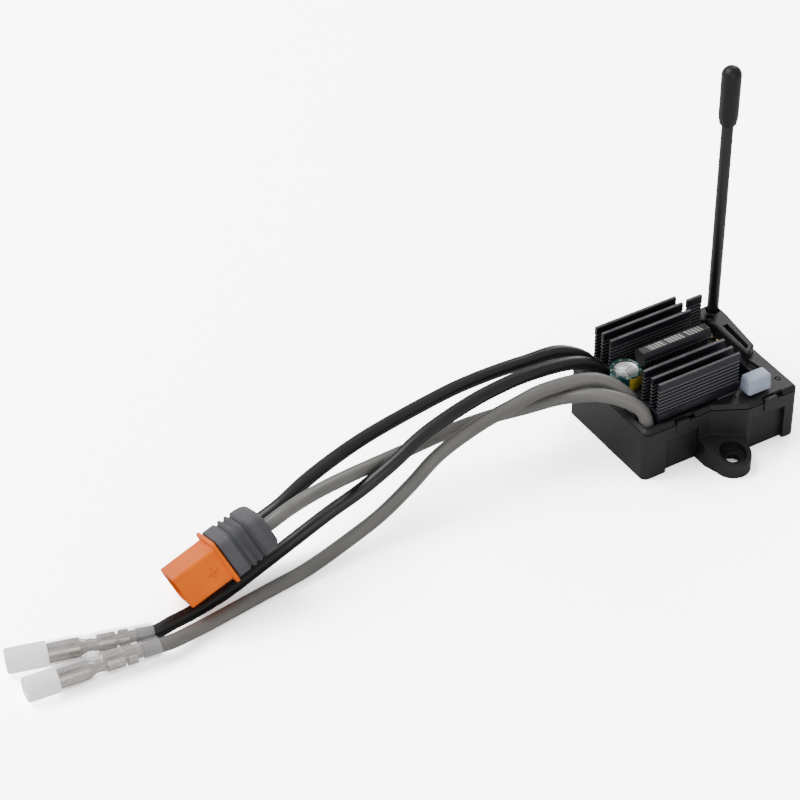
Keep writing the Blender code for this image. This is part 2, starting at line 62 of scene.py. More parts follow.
# %% Camera
HEADING = math.radians(31.65)
TILT = math.radians(38.87)
AIM = Vector((-47.69, 36.49, 0)) * MM
DISTANCE = 653.2 * MM
sight = Vector((
    math.sin(HEADING) * math.cos(TILT),
    math.cos(HEADING) * math.cos(TILT),
    -math.sin(TILT),
))
lens = bpy.data.cameras.new("camera")
lens.lens = 135
lens.sensor_width = 36
lens.clip_start = 0.01
camera = bpy.data.objects.new("camera", lens)
camera.location = AIM - sight * DISTANCE
camera.rotation_euler = (math.pi / 2 - TILT, 0, -HEADING)
scene.collection.objects.link(camera)
scene.camera = camera
print("camera at", tuple(round(v, 3) for v in camera.location))

# %% [markdown]
# ## Shader sums as plain Python
# A material is a net of nodes, and a sum of masks soon fills a screen with them. A small
# class that holds a socket and knows + - * / lets a line of Python stand for those nodes.

# %% Socket sums
class Sum:
    """The value of one socket. A sum on it adds its Math node."""

    def __init__(self, look, socket):
        self.look = look
        self.socket = socket

    def math(self, kind, *others, clamp=False):
        settings = {"operation": kind, "use_clamp": clamp}
        return self.look.node("ShaderNodeMath", settings, self, *others)

    def __add__(self, other):
        return self.math("ADD", other)

    def __sub__(self, other):
        return self.math("SUBTRACT", other)

    def __rsub__(self, other):
        return self.look.node("ShaderNodeMath", {"operation": "SUBTRACT"}, other, self)

    def __mul__(self, other):
        return self.math("MULTIPLY", other)

    def __truediv__(self, other):
        return self.math("DIVIDE", other)

    def __gt__(self, other):
        return self.math("GREATER_THAN", other)

    def __lt__(self, other):
        return self.math("LESS_THAN", other)

    __radd__ = __add__
    __rmul__ = __mul__

    def band(self, low, high):
        """1 between low and high, 0 outside."""
        return (self > low) * (self < high)

    def ramp(self, low, high):
        """0 at low, 1 at high, straight between."""
        return (self - low).math("DIVIDE", high - low, clamp=True)


print("socket sums ready")

# %% [markdown]
# ## Materials by name
# Plastic, metal and rubber all start from the same Principled shader, so one class holds it
# and sets its inputs by name. Any other node comes from one method, which makes the node's
# settings first, because they decide which of its sockets are in use.

# %% Looks
class Look:
    """A material with one Principled shader."""

    def __init__(self, name, colour, roughness, metallic=0.0, **more):
        self.material = bpy.data.materials.new(name)
        self.material.use_nodes = True
        self.tree = self.material.node_tree
        self.shader = self.tree.nodes["Principled BSDF"]
        self.set("Base Color", (*colour, 1.0))
        self.set("Roughness", roughness)
        self.set("Metallic", metallic)
        for key, value in more.items():
            self.set(key.replace("_", " ").title(), value)

    def set(self, name, value):
        self.feed(self.shader.inputs[name], value)

    def feed(self, socket, value):
        if isinstance(value, Sum):
            self.tree.links.new(value.socket, socket)
        else:
            socket.default_value = value

    def node(self, kind, settings, *values, out=None, **named):
        """A new node. Values go to its sockets in order, or by name."""
        made = self.tree.nodes.new(kind)
        for key, value in settings.items():
            setattr(made, key, value)
        for socket, value in zip([s for s in made.inputs if s.enabled], values):
            self.feed(socket, value)
        for key, value in named.items():
            self.feed(made.inputs[key], value)
        first = next(s for s in made.outputs if s.enabled)
        return Sum(self, made.outputs[out] if out else first)

    def place(self):
        """Object coordinates in metres, and their three parts."""
        spot = self.node("ShaderNodeTexCoord", {}, out="Object")
        split = self.node("ShaderNodeSeparateXYZ", {}, spot).socket.node
        return spot, [Sum(self, part) for part in split.outputs]

    def noise(self, spot, scale, detail=3.0):
        return self.node("ShaderNodeTexNoise", {}, Vector=spot, Scale=scale, Detail=detail)

    def mix(self, mask, one, two):
        """Colour one where the mask is 0 and two where it is 1."""
        ends = [end if isinstance(end, Sum) else (*end, 1.0) for end in (one, two)]
        return self.node("ShaderNodeMix", {"data_type": "RGBA"}, mask, *ends)

    def bump(self, height, distance, strength, round_edge=0.0):
        """Relief from a height. Edges within round_edge look rounded."""
        named = {"Strength": strength, "Distance": distance, "Height": height}
        if round_edge:
            named["Normal"] = self.node("ShaderNodeBevel", {"samples": 6}, round_edge)
        self.set("Normal", self.node("ShaderNodeBump", {}, **named))


print("looks ready")

# %% [markdown]
# ## Moulded black plastic
# The case is glass-filled nylon from a spark-eroded mould: charcoal and satin, with a very
# fine grain. Two noises do it: a fine one for the grain and a broad one that makes the
# gloss and the colour uneven. A Bevel node rounds the sharp edges in the light.

# %% Case plastic
def moulded(name, colour, roughness, grain=0.02 * MM, edge=0.22 * MM, cloud=0.12):
    look = Look(name, colour, roughness)
    spot, _ = look.place()
    broad = look.noise(spot, 160.0, 4.0)
    fine = look.noise(spot, 4200.0, 2.0)
    look.set("Roughness", roughness - cloud / 2 + broad * cloud + fine * 0.06)
    pale = tuple(min(1.0, c * 1.5 + 0.004) for c in colour)
    cloudy = broad.ramp(0.35, 0.75) * 0.6 + fine * 0.25
    look.set("Base Color", look.mix(cloudy, colour, pale))
    look.bump(fine + broad * 0.5, grain, 0.6, edge)
    return look


case_look = moulded("charcoal_nylon", (0.0065, 0.0065, 0.008), 0.42)
case_look.set("Specular IOR Level", 0.42)
print("made", case_look.material.name)

# %% [markdown]
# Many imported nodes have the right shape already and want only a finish, so they keep their
# meshes and take a material. The chips and the switch bodies are moulded epoxy.

# %% Dress the plain nodes
def dress(look, *names):
    """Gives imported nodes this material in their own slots."""
    for name in names:
        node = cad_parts[name]
        if not node.material_slots:
            node.data.materials.append(look.material)
        for place in node.material_slots:
            place.material = look.material
    print("dressed", len(names), "nodes in", look.material.name)


dress(case_look, "lower_case", "top_cover")
chip_look = moulded("chip_epoxy", (0.009, 0.009, 0.01), 0.5, edge=0.1 * MM)
dress(chip_look, "mosfet_1", "mosfet_2", "mosfet_3", "mosfet_4", "servo_socket",
      "switch_body", "tact_switch_body", "capacitor_bung", "bind_button")

# %% [markdown]
# ## Circuit boards
# A board is glass cloth under dark green lacquer. The weave shows as a faint grid in the
# lacquer, and copper tracks lift it a little, so a grid and a noise share the bump.

# %% Board lacquer
def lacquer():
    look = Look("board_lacquer", (0.003, 0.008, 0.007), 0.35)
    spot, (x, y, _) = look.place()
    weave = (x * 9000.0).math("SINE") * (y * 9000.0).math("SINE")
    tracks = (x * 2400.0).math("SINE") + (y * 2000.0).math("SINE")
    mottle = look.noise(spot, 700.0)
    copper = tracks.ramp(0.9, 1.1) * mottle.ramp(0.45, 0.55)
    look.set("Base Color", look.mix(copper, (0.0022, 0.0065, 0.006), (0.005, 0.016, 0.012)))
    look.set("Roughness", 0.32 + mottle * 0.15)
    look.bump(weave * 0.1 + copper, 0.03 * MM, 0.5, 0.1 * MM)
    return look


dress(lacquer(), "main_board", "receiver_board")

# %% [markdown]
# ## Metal trim
# Contacts are gold plated, solder is bright and lumpy, the bullets are tinned brass with
# a warm tint. One recipe serves all: metal whose gloss a noise breaks up.

# %% Metals
def metal(name, colour, roughness, lump=0.01 * MM, edge=0.1 * MM):
    look = Look(name, colour, roughness, 1.0)
    spot, _ = look.place()
    cloud = look.noise(spot, 900.0, 4.0)
    dull = tuple(c * 0.72 for c in colour)
    look.set("Base Color", look.mix(cloud.ramp(0.35, 0.7), colour, dull))
    look.set("Roughness", roughness + cloud * 0.18)
    look.bump(cloud, lump, 0.5, edge)
    return look


gold_look = metal("gold_plate", (0.86, 0.6, 0.24), 0.2)
tin_look = metal("tinned_brass", (0.66, 0.6, 0.53), 0.16, 0.03 * MM)
solder_look = metal("solder", (0.62, 0.6, 0.57), 0.22, 0.06 * MM)
dress(gold_look, "servo_pin_1", "servo_pin_2", "servo_pin_3", "header_pin_1", "header_pin_2",
      "header_pin_3", "connector_contact_positive", "connector_contact_negative")
dress(solder_look, "solder_black_1", "solder_black_2", "solder_grey_a", "solder_grey_b")

# %% [markdown]
# ## Thermal pad
# A soft grey pad carries heat from the chips to the heat sink. It is matt and slightly
# pitted, so one noise as bump is enough for a piece that hardly shows.

# %% Thermal pad
pad_look = Look("thermal_pad", (0.28, 0.32, 0.36), 0.8)
pad_spot, _ = pad_look.place()
pad_look.bump(pad_look.noise(pad_spot, 1500.0), 0.05 * MM, 0.6, 0.1 * MM)
dress(pad_look, "thermal_pad")

# %% [markdown]
# ## Making new pieces
# A piece starts as a bmesh and ends as an object at the origin, with its place in its
# mesh. One helper does the ending the same way each time: it turns the faces outwards,
# sets which edges look sharp, names the body it moves with and hides the node it stands for.

# %% Finish a piece
SAME_POINT = 1e-7


def finish(name, bm, look, stands_for=(), body="case", sharp=35, at=None):
    bmesh.ops.remove_doubles(bm, verts=bm.verts, dist=SAME_POINT)
    bmesh.ops.recalc_face_normals(bm, faces=bm.faces)
    if at is not None:
        bmesh.ops.transform(bm, matrix=at, verts=bm.verts)
    mesh = bpy.data.meshes.new(name)
    bm.to_mesh(mesh)
    bm.free()
    for face in mesh.polygons:
        face.use_smooth = True
    mesh.set_sharp_from_angle(angle=math.radians(sharp))
    mesh.materials.append(look.material)
    piece = bpy.data.objects.new(name, mesh)
    scene.collection.objects.link(piece)
    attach(piece, body)
    if stands_for:
        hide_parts(*stands_for)
    print(name, "has", len(mesh.polygons), "faces")
    return piece


def spun(profile, steps=48):
    """A bmesh turned about Z from (radius, z) points in millimetres."""
    bm = bmesh.new()
    spots = [bm.verts.new((r * MM, 0, z * MM)) for r, z in profile]
    edges = [bm.edges.new(pair) for pair in zip(spots, spots[1:])]
    bmesh.ops.spin(
        bm, geom=spots + edges, cent=(0, 0, 0), axis=(0, 0, 1), angle=2 * math.pi,
        steps=steps, use_merge=True,
    )
    bmesh.ops.remove_doubles(bm, verts=bm.verts, dist=SAME_POINT)
    return bm


print("piece helpers ready")

# %% [markdown]
# ## The places of the plug and the sleeves
# The leads end in these, so their places come first. The plug lies tipped and rolled on a
# corner of its nose, so its place is a shift and two turns. A sleeve lies between two
# points on its axis, and its turn comes from the direction between them.

# %% Plug and sleeve places
PLUG_FACE = Vector((-121.4, 1.7, 7.0)) * MM
PLUG_PITCH = math.radians(-21.7)
PLUG_ROLL = math.radians(-35.7)
PLUG_BACK = 21.6
PLUG_LEAD_Y = 4
plug_at = (
    Matrix.Translation(PLUG_FACE)
    @ Matrix.Rotation(PLUG_PITCH, 4, "Y")
    @ Matrix.Rotation(PLUG_ROLL, 4, "X")
)
SLEEVES = {
    "1": (Vector((-129.3, -3.3, 3.0)), Vector((-157.7, 4.7, 2.8))),
    "2": (Vector((-130.3, -7.6, 3.3)), Vector((-158.0, -4.5, 2.8))),
}


def into_plug(side):
    """The last points of a lead: behind the backshell, at its end and inside it."""
    return [
        tuple((plug_at @ (Vector((PLUG_BACK + past, side * PLUG_LEAD_Y, 0)) * MM)) / MM)
        for past in (5, 1, -1.6)
    ]


def sleeve_frame(key):
    rear, front = SLEEVES[key]
    turn = (front - rear).to_track_quat("Z", "Y").to_matrix().to_4x4()
    return Matrix.Translation(rear * MM) @ turn, (front - rear).length


def into_sleeve(key, *reaches):
    """Points on a sleeve's axis, this far past its rear end."""
    at, _ = sleeve_frame(key)
    return [tuple(at @ Vector((0, 0, reach * MM)) / MM) for reach in reaches]


print("leads enter the plug at", [round(v, 1) for v in into_plug(1)[1]])

# %% [markdown]
# ## The four leads
# Each lead is silicone over fine strands, 3.0 mm across: supple, so it rises off its
# solder pad, bends over the wall of the case and sags to the floor in one long curve.
# The route is a few listed points, in millimetres, which is easier to change than a
# dense curve. Two leads go to the plug and two to the bullet terminals.

# %% Lead routes
LEAD_LOW = 10.7
LEAD_WIDTH = 3.0 * MM
ROUTES = {
    "lead_black_1": [
        (-15.9, 10.5, LEAD_LOW), (-15.9, 10.5, 12.5), (-16.6, 10.7, 15.5), (-23, 12, 19.5),
        (-31.5, 12.5, 20), (-40, 13, 20), (-48.5, 13.3, 19.5), (-54, 13.3, 18.8),
        (-62.5, 13, 17.7), (-71, 12, 17), (-79.7, 10, 16.5), (-88.4, 7.3, 16),
        *into_plug(1),
    ],
    "lead_black_2": [
        (-15.9, 6.3, LEAD_LOW), (-15.9, 6.3, 12.5), (-16.5, 6.2, 15.5), (-22.3, 6.6, 19.8),
        (-33.5, 7.4, 21), (-42.2, 7.5, 20.6), (-50.3, 6.7, 20), (-61.5, 5.2, 18),
        (-69.3, 3.8, 15.2), (-77, 3.5, 11.8), (-84.6, 4.4, 8), (-94.8, 4.2, 4),
        (-102.8, 2.8, 2.4), (-111.2, 0.3, 2.2), (-120.5, -2.1, 2.75), (-125.2, -2.85, 3),
        *into_sleeve("1", -0.5, 3.5),
    ],
    "lead_grey_a": [
        (-15.9, -5.3, LEAD_LOW), (-15.9, -5.3, 12.5), (-16.4, -4.5, 15.5), (-21.6, -0.3, 19.6),
        (-32.2, 3.3, 19.2), (-40.4, 4.1, 17.4), (-48.4, 4, 16), (-59, 3, 13.2),
        (-66.8, 1.4, 9.6), (-74.7, 0.2, 6.1), (-83, -0.6, 3.6), (-93.8, -2.2, 1.9),
        (-102.4, -3.4, 1.8), (-111, -4.8, 2), (-121, -6.6, 2.5),
        *into_sleeve("2", -2.5, 0, 3.5),
    ],
    "lead_grey_b": [
        (-15.9, -10.4, LEAD_LOW), (-15.9, -10.2, 12.5), (-16.6, -8.9, 15.5), (-22.2, -3.8, 18),
        (-29, 1.6, 16.7), (-36.2, 5.7, 14.1), (-44.2, 8.9, 12.4), (-55, 9.8, 11.7),
        (-63, 8.8, 12.2), (-71.5, 7.2, 13.4), (-80.5, 4.5, 15.6), (-89.9, 1.2, 17.9),
        *into_plug(-1),
    ],
}
print({name: len(route) for name, route in ROUTES.items()})

# %% [markdown]
# A straight line from point to point would kink, so a smooth curve goes through them and
# is sampled at even steps. Each stretch blends two points and the slopes at them, and a
# slope comes from the points on both sides, so neighbouring stretches meet without a bend.

# %% Smooth paths
STEP = 1.5
PARTS = 12


def run_length(points):
    return sum((q - p).length for p, q in zip(points, points[1:]))


def smooth_path(points, step):
    """Points along a smooth curve through these, about a step apart."""
    ends = [2 * Vector(points[0]) - Vector(points[1])]
    ends += [Vector(p) for p in points]
    ends += [2 * ends[-1] - ends[-2]]
    dense = []
    for a, b, c, d in zip(ends, ends[1:], ends[2:], ends[3:]):
        ta, tb, tc = (max(1e-6, (q - p).length) ** 0.5 for p, q in ((a, b), (b, c), (c, d)))
        one = ((b - a) / ta - (c - a) / (ta + tb) + (c - b) / tb) * tb
        two = ((c - b) / tb - (d - b) / (tb + tc) + (d - c) / tc) * tb
        for k in range(PARTS):
            t = k / PARTS
            dense.append(
                b * (2 * t**3 - 3 * t**2 + 1) + one * (t**3 - 2 * t**2 + t)
                + c * (3 * t**2 - 2 * t**3) + two * (t**3 - t**2)
            )
    dense.append(ends[-2])
    total = run_length(dense)
    count = max(4, round(total / step))
    found = [dense[0]]
    run = 0.0
    for p, q in zip(dense, dense[1:]):
        long = (q - p).length
        while len(found) < count and run + long >= total * len(found) / count:
            found.append(p.lerp(q, (total * len(found) / count - run) / long))
        run += long
    found.append(dense[-1])
    return [p * MM for p in found]


paths = {name: smooth_path(route, STEP) for name, route in ROUTES.items()}
print({name: len(path) for name, path in paths.items()})

# %% [markdown]
# Silicone is satin with a dusty bloom, and it picks up faint scuffs. The colour varies
# slowly along the lead and a fine noise keeps the highlight from looking like glass.

# %% Silicone
def silicone(name, colour, pale, roughness):
    look = Look(name, colour, roughness)
    spot, _ = look.place()
    slow = look.noise(spot, 90.0, 4.0)
    fine = look.noise(spot, 3000.0, 2.0)
    look.set("Base Color", look.mix(slow.ramp(0.3, 0.75), colour, pale))
    look.set("Roughness", roughness - 0.08 + slow * 0.2)
    look.bump(fine, 0.02 * MM, 0.5)
    return look


black_look = silicone("black_silicone", (0.007, 0.007, 0.0075), (0.013, 0.013, 0.014), 0.34)
grey_look = silicone("grey_silicone", (0.135, 0.132, 0.124), (0.175, 0.171, 0.16), 0.42)
print("made", black_look.material.name, "and", grey_look.material.name)

# %% [markdown]
# A curve object with a round bevel turns each path into a tube, and it stays a curve, so
# its width is one number. Filled caps close its ends.

# %% Lead tubes
def tube(name, path, look):
    curve = bpy.data.curves.new(name + "_tube", "CURVE")
    curve.dimensions = "3D"
    curve.bevel_depth = LEAD_WIDTH / 2
    curve.bevel_resolution = 5
    curve.use_fill_caps = True
    line = curve.splines.new("POLY")
    line.points.add(len(path) - 1)
    for spot, point in zip(line.points, path):
        spot.co = (*point, 1.0)
    line.use_smooth = True
    made = bpy.data.objects.new(name + "_tube", curve)
    curve.materials.append(look.material)
    scene.collection.objects.link(made)
    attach(made, "case")
    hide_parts(name)
    return made


for name, path in paths.items():
    if "grey" in name:
        tube(name, path, grey_look)
    else:
        tube(name, path, black_look)
    print(name, "is", round(run_length(path) / MM, 1), "mm long")

# %% [markdown]
# ## The battery plug
# The plug is an orange nylon housing, packed with its flange and polarised nose, over a
# grey backshell with three grips. The backshell is one outline pushed along: a face is
# extruded, moved and scaled again and again, which keeps it one skin.

# %% Pushed outline
def rounded_face(bm, y_half, z_half, radius, segments):
    """A flat rectangle in the YZ plane with rounded corners, millimetres."""
    corners = ((-y_half, -z_half), (y_half, -z_half), (y_half, z_half), (-y_half, z_half))
    face = bm.faces.new([bm.verts.new((0, y * MM, z * MM)) for y, z in corners])
    bmesh.ops.bevel(
        bm, geom=list(face.verts), offset=radius * MM, segments=segments, affect="VERTICES",
        profile=0.5, material=-1,
    )
    return max(bm.faces, key=lambda f: f.calc_area())


def push(bm, face, x, y_size, z_size):
    """Extrudes the face to this x and scales it about the axis."""
    made = bmesh.ops.extrude_face_region(bm, geom=[face], use_keep_orig=False)
    for v in made["geom"]:
        if isinstance(v, bmesh.types.BMVert):
            v.co = (x * MM, v.co.y * y_size, v.co.z * z_size)
    return next(f for f in made["geom"] if isinstance(f, bmesh.types.BMFace))


print("outline helpers ready")

# %% [markdown]
# Each step of the backshell says how far along it is and how deep it is below the full
# outline. A grip is the same few steps three times, each groove a little deeper than the
# one before, and the last steps round the back over to where the leads come out.

# %% Backshell
SHELL_HALF = (8.2, 4.5)
SHELL_FRONT = 11.1
GROOVE_START, GROOVE_PITCH, GROOVE_DEEPER = 13.9, 1.5, 0.05
GROOVE = ((0.1, 0.22), (0.24, 0.46), (0.5, 0.55), (0.68, 0.45), (0.9, 0.12), (1.1, 0), (1.4, 0.03))
shell = bmesh.new()
end = rounded_face(shell, *SHELL_HALF, 2.0, 6)
for v in shell.verts:
    v.co.x = SHELL_FRONT * MM
bmesh.ops.reverse_faces(shell, faces=[end])
bmesh.ops.duplicate(shell, geom=[end])
shell_steps = [(11.25, 0), (13.8, 0)]
for k in range(3):
    start = GROOVE_START + GROOVE_PITCH * k
    shell_steps += [(start + along, depth + GROOVE_DEEPER * k) for along, depth in GROOVE]
shell_steps += [(18.7, 0.14), (20.2, 0.3), (20.9, 0.55), (21.35, 0.95), (21.55, 1.25),
                (PLUG_BACK, 1.6)]
was = 0
for along, depth in shell_steps:
    y_size, z_size = ((half - depth) / (half - was) for half in SHELL_HALF)
    end = push(shell, end, along, y_size, z_size)
    was = depth
plug_grey = moulded("plug_grey", (0.06, 0.061, 0.068), 0.6, 0.05 * MM, 0.3 * MM)
backshell = finish("plug_backshell", shell, plug_grey, ["connector_backshell"],
                   sharp=50, at=plug_at)

# %% [markdown]
# The housing is bright orange nylon. The same moulded finish serves, with less specular
# light, because a pale sheen over it would wash the orange out.

# %% Orange housing
orange_look = moulded("plug_orange", (0.85, 0.13, 0.0), 0.48, 0.02 * MM, 0.3 * MM, 0.1)
orange_look.set("Specular IOR Level", 0.12)
dress(orange_look, "connector_housing")

# %% [markdown]
# ## Bullet terminals
# A tinned bullet is rolled sheet: a split barrel, a neck, and two rows of wings folded over
# the strands. Rolled strips are swept rings that stop short of closing, which leaves the
# split without a cut. The neck is turned, and the strands are thin wires side by side.

# %% Rolled strips and strands
def split_ring(r_in, r_out, z0, z1, gap_turn):
    """A rolled strip: a ring that stops short of closing, on Z."""
    bm = bmesh.new()
    corners = ((r_in, z0), (r_out, z0), (r_out, z1), (r_in, z1))
    spots = [bm.verts.new((r * MM, 0, z * MM)) for r, z in corners]
    edges = [bm.edges.new((spots[i], spots[(i + 1) % 4])) for i in range(4)]
    bm.faces.new(spots)
    made = bmesh.ops.spin(
        bm, geom=spots + edges, cent=(0, 0, 0), axis=(0, 0, 1), angle=2 * math.pi - gap_turn,
        steps=28,
    )
    last = [v for v in made["geom_last"] if isinstance(v, bmesh.types.BMVert)]
    bmesh.ops.contextual_create(bm, geom=last)
    bmesh.ops.rotate(bm, verts=bm.verts, matrix=Matrix.Rotation(1.2 + gap_turn / 2, 3, "Z"))
    return bm


def strands(z0, z1, radius, count):
    """Thin wires in a round bundle, each leaning a little."""
    bm = bmesh.new()
    lean = Matrix.Rotation(0.05, 4, "X")
    wire = 0.2 * MM
    for k in range(count):
        turn = k * 2.4
        reach = radius * math.sqrt((k + 0.5) / count)
        middle = Vector((reach * math.cos(turn), reach * math.sin(turn), (z0 + z1) / 2))
        bmesh.ops.create_cone(
            bm, cap_ends=True, segments=8, radius1=wire, radius2=wire, depth=(z1 - z0) * MM,
            matrix=Matrix.Translation(middle * MM) @ lean,
        )
    return bm


print("terminal helpers ready")

# %% [markdown]
# Both terminals are made at the rear end of a sleeve with their axis on Z, and then take
# the sleeve's place. The strands are the same metal, a little warmer and duller.

# %% Terminals
NECK = [(0.9, 11.4), (1.25, 12.3), (1.25, 13.4), (1.72, 14.6), (1.98, 14.9), (1.98, 15.4),
        (1.7, 15.4), (1.5, 14.9), (1.0, 13.4), (1.0, 12.3), (0.7, 11.4), (0.9, 11.4)]
strand_look = metal("tinned_strands", (0.62, 0.52, 0.42), 0.26)
for key in SLEEVES:
    at, _ = sleeve_frame(key)
    barrel = split_ring(1.72, 1.98, 14.8, 21.6, 0.25)
    finish("bullet_barrel_" + key, barrel, tin_look, ["bullet_terminal_" + key], at=at)
    finish("bullet_neck_" + key, spun(NECK, 32), tin_look, at=at)
    wing = split_ring(1.35, 1.72, 7.6, 11.2, 0.5)
    finish("bullet_wing_" + key, wing, tin_look, at=at)
    grip = split_ring(1.55, 1.8, 5.0, 6.9, 0.9)
    finish("bullet_grip_" + key, grip, tin_look, at=at)
    finish("strands_" + key, strands(3.6, 12.2, 1.1, 19), strand_look, at=at)

# %% [markdown]
# ## Clear sleeves
# The sleeves are soft clear vinyl, and the metal shows through. Alpha lets it show, which
# is quicker than real refraction through a thin wall, and a cloudy noise keeps it uneven.
# The nose is thick and milky. It is opaque, and a faint glow stands for the light that
# comes through it.

# %% Sleeve vinyl
sleeve_look = Look("clear_vinyl", (0.7, 0.68, 0.685), 0.16, coat_weight=0.5)
sleeve_spot, _ = sleeve_look.place()
haze = sleeve_look.noise(sleeve_spot, 240.0, 1.0)
sleeve_look.set("Alpha", haze.ramp(0.3, 0.75) * 0.2 + 0.12)
sleeve_look.set("Roughness", haze * 0.25 + 0.14)
sleeve_look.bump(haze, 0.1 * MM, 0.6)
nose_look = Look("milky_vinyl", (0.86, 0.87, 0.88), 0.35, subsurface_weight=0.4)
nose_look.set("Subsurface Radius", (0.002, 0.002, 0.002))
nose_look.set("Emission Color", (1.0, 1.0, 1.0, 1.0))
nose_look.set("Emission Strength", 0.55)
nose_spot, _ = nose_look.place()
nose_haze = nose_look.noise(nose_spot, 300.0, 3.0)
nose_look.set("Base Color", nose_look.mix(nose_haze, (0.74, 0.74, 0.75), (0.9, 0.9, 0.9)))
nose_look.bump(nose_haze, 0.08 * MM, 0.5)
print("made", sleeve_look.material.name, "and", nose_look.material.name)

# %% [markdown]
# Wall and nose are both turned from a profile that goes up the outside and down the
# inside. The wall is narrow over the lead, wider over the wings and widest over the barrel.

# %% Sleeves
WALL = [(1.85, 0.0), (2.1, 0.0), (2.15, 0.3), (2.2, 4.6), (2.4, 5.8), (2.42, 11.4),
        (2.2, 12.4), (2.24, 13.3), (2.55, 14.3), (2.6, 15.5), (2.6, 21.2), (2.3, 21.2),
        (2.28, 14.5), (1.95, 13.4), (1.95, 12.6), (2.15, 11.4), (2.12, 6.0), (1.9, 4.8),
        (1.85, 0.0)]
for key in SLEEVES:
    at, length = sleeve_frame(key)
    finish("sleeve_wall_" + key, spun(WALL, 56), sleeve_look,
           ["terminal_sleeve_" + key], at=at)
    tip = spun([(2.02, length), (2.35, length), (2.58, length - 0.35), (2.6, length - 1.0),
                (2.6, 21.6), (2.5, 21.3), (2.1, 21.9), (1.95, 22.4), (1.92, length - 0.6),
                (2.02, length)], 56)
    finish("sleeve_nose_" + key, tip, nose_look, at=at)

# %% [markdown]
# ## The capacitor
# An aluminium can stands in a printed film sleeve. The can's top is scored so it can vent.
# The score is a dip in the material, drawn as three lines from the centre, since real
# grooves this fine need many faces. The lines are also darkened in the colour as painted
# shade in the grooves.

# %% Can
CAN_X, CAN_Y = -13.6, 1.0
can_at = Matrix.Translation(Vector((CAN_X, CAN_Y, 0)) * MM)


def about_can(look):
    """Object coordinates, and x, y and z with the can's axis at zero."""
    spot, (x, y, z) = look.place()
    return spot, x - CAN_X * MM, y - CAN_Y * MM, z


can_look = Look("can_top", (0.78, 0.79, 0.8), 0.3, 1.0)
can_spot, cx, cy, _ = about_can(can_look)
score = 0.0
for turn in (20, 140, 260):
    c, s = math.cos(math.radians(turn)), math.sin(math.radians(turn))
    line = (cx * -s + cy * c).math("ABSOLUTE") < 0.14 * MM
    score = line * ((cx * c + cy * s) > 0.0) + score
brushed = can_look.noise(can_spot, 1800.0, 3.0)
# painted shade: the score lines darkened in the can's colour
can_look.set("Base Color", can_look.mix(score * 0.6, (0.8, 0.81, 0.82), (0.25, 0.25, 0.25)))
can_look.set("Roughness", brushed * 0.2 + 0.26)
can_look.bump(brushed * 0.15 - score, 0.1 * MM, 0.9)
can = spun([(0, 10.5), (2.6, 10.5), (2.95, 10.8), (2.95, 17.9), (2.85, 18.12), (2.65, 18.2),
            (2.45, 18.12), (2.3, 18.02), (0, 18.02)], 64)
finish("can_body", can, can_look, ["capacitor_can"], at=can_at)

# %% [markdown]
# The film is printed blue-green, with a gold stripe on the side towards the front that goes
# dark in patches towards the bottom, and pale ticks round the rim that are painted glints.
# It folds over the top, so its profile ends in a rolled lip. The stripe is a half space in X
# and Y, and the painted glints come from the angle about the axis.

# %% Film sleeve
RIM_LOW = 18.2
STRIPE_LONG = 4.0
film_look = Look("can_film", (0.01, 0.1, 0.105), 0.2, coat_weight=0.5)
film_spot, fx, fy, fz = about_can(film_look)
stripe = ((fx * 0.31 - fy * 0.95) > 2.7 * MM) * (fz < RIM_LOW * MM)
# painted glints: pale ticks at intervals round the rolled rim
painted_rim_glints = ((fx.math("ARCTAN2", fy) * 9.0).math("SINE") > 0.6) * (fz > (RIM_LOW + 0.05) * MM)
# the gold stripe goes dark in patches, more so towards the bottom
stripe_dark_patches = film_look.noise(film_spot, 420.0, 2.0).ramp(0.42, 0.56)
below_rim = (fz * (-1 / MM) + RIM_LOW) / STRIPE_LONG
gold_ink = film_look.mix(stripe_dark_patches * below_rim, (0.46, 0.33, 0.03), (0.05, 0.04, 0.008))
film_base = film_look.mix(stripe, (0.004, 0.04, 0.044), gold_ink)
film_look.set("Base Color", film_look.mix(painted_rim_glints * 0.25, film_base, (0.4, 0.5, 0.3)))
film_look.set("Roughness", film_look.noise(film_spot, 500.0) * 0.2 + 0.12)
film = spun([(3.22, 10.1), (3.5, 10.1), (3.5, 18.05), (3.46, 18.35), (3.3, 18.55), (3.1, 18.6),
             (2.85, 18.52), (2.74, 18.4), (2.8, 18.32), (3.1, 18.35), (3.22, 18.1),
             (3.22, 10.1)], 64)
finish("can_film_sleeve", film, film_look, ["capacitor_sleeve"], at=can_at)

# %% [markdown]
# ## The heat sink
# The heat sink is an extrusion, anodised black with a blue cast, then sawn to length. Its
# ribs come with the imported node. The finish does the rest: fine lines along the length,
# painted highlights on the rib crests, and paler fin tops that are partly rubbed wear and
# partly painted sheen. The round bar carries an etched panel of plain bars, and its sawn
# end stays dark and matt.

# %% Anodised aluminium
FIN_TOP = 22.72
RIB_START, RIB_PITCH, RIB_LOW, RIB_HIGH = 20.75, 0.89, 15.4, 21.2
BAR_END, BAR_HALF, BAR_LOW = -10.82, 2.0, 18.8
PANEL_X, PANEL_Z, PANEL_HALF = (-9.2, 4.9), (22.4, 22.6), 0.85
sink_look = Look("black_anodised", (0.012, 0.013, 0.018), 0.4, 0.2)
sink_spot, (sx, sy, sz) = sink_look.place()
drawn = sink_look.node("ShaderNodeCombineXYZ", {}, sx * 60.0, sy * 6000.0, sz * 6000.0)
lines = sink_look.noise(drawn, 1.0)
cloud = sink_look.noise(sink_spot, 220.0, 4.0)
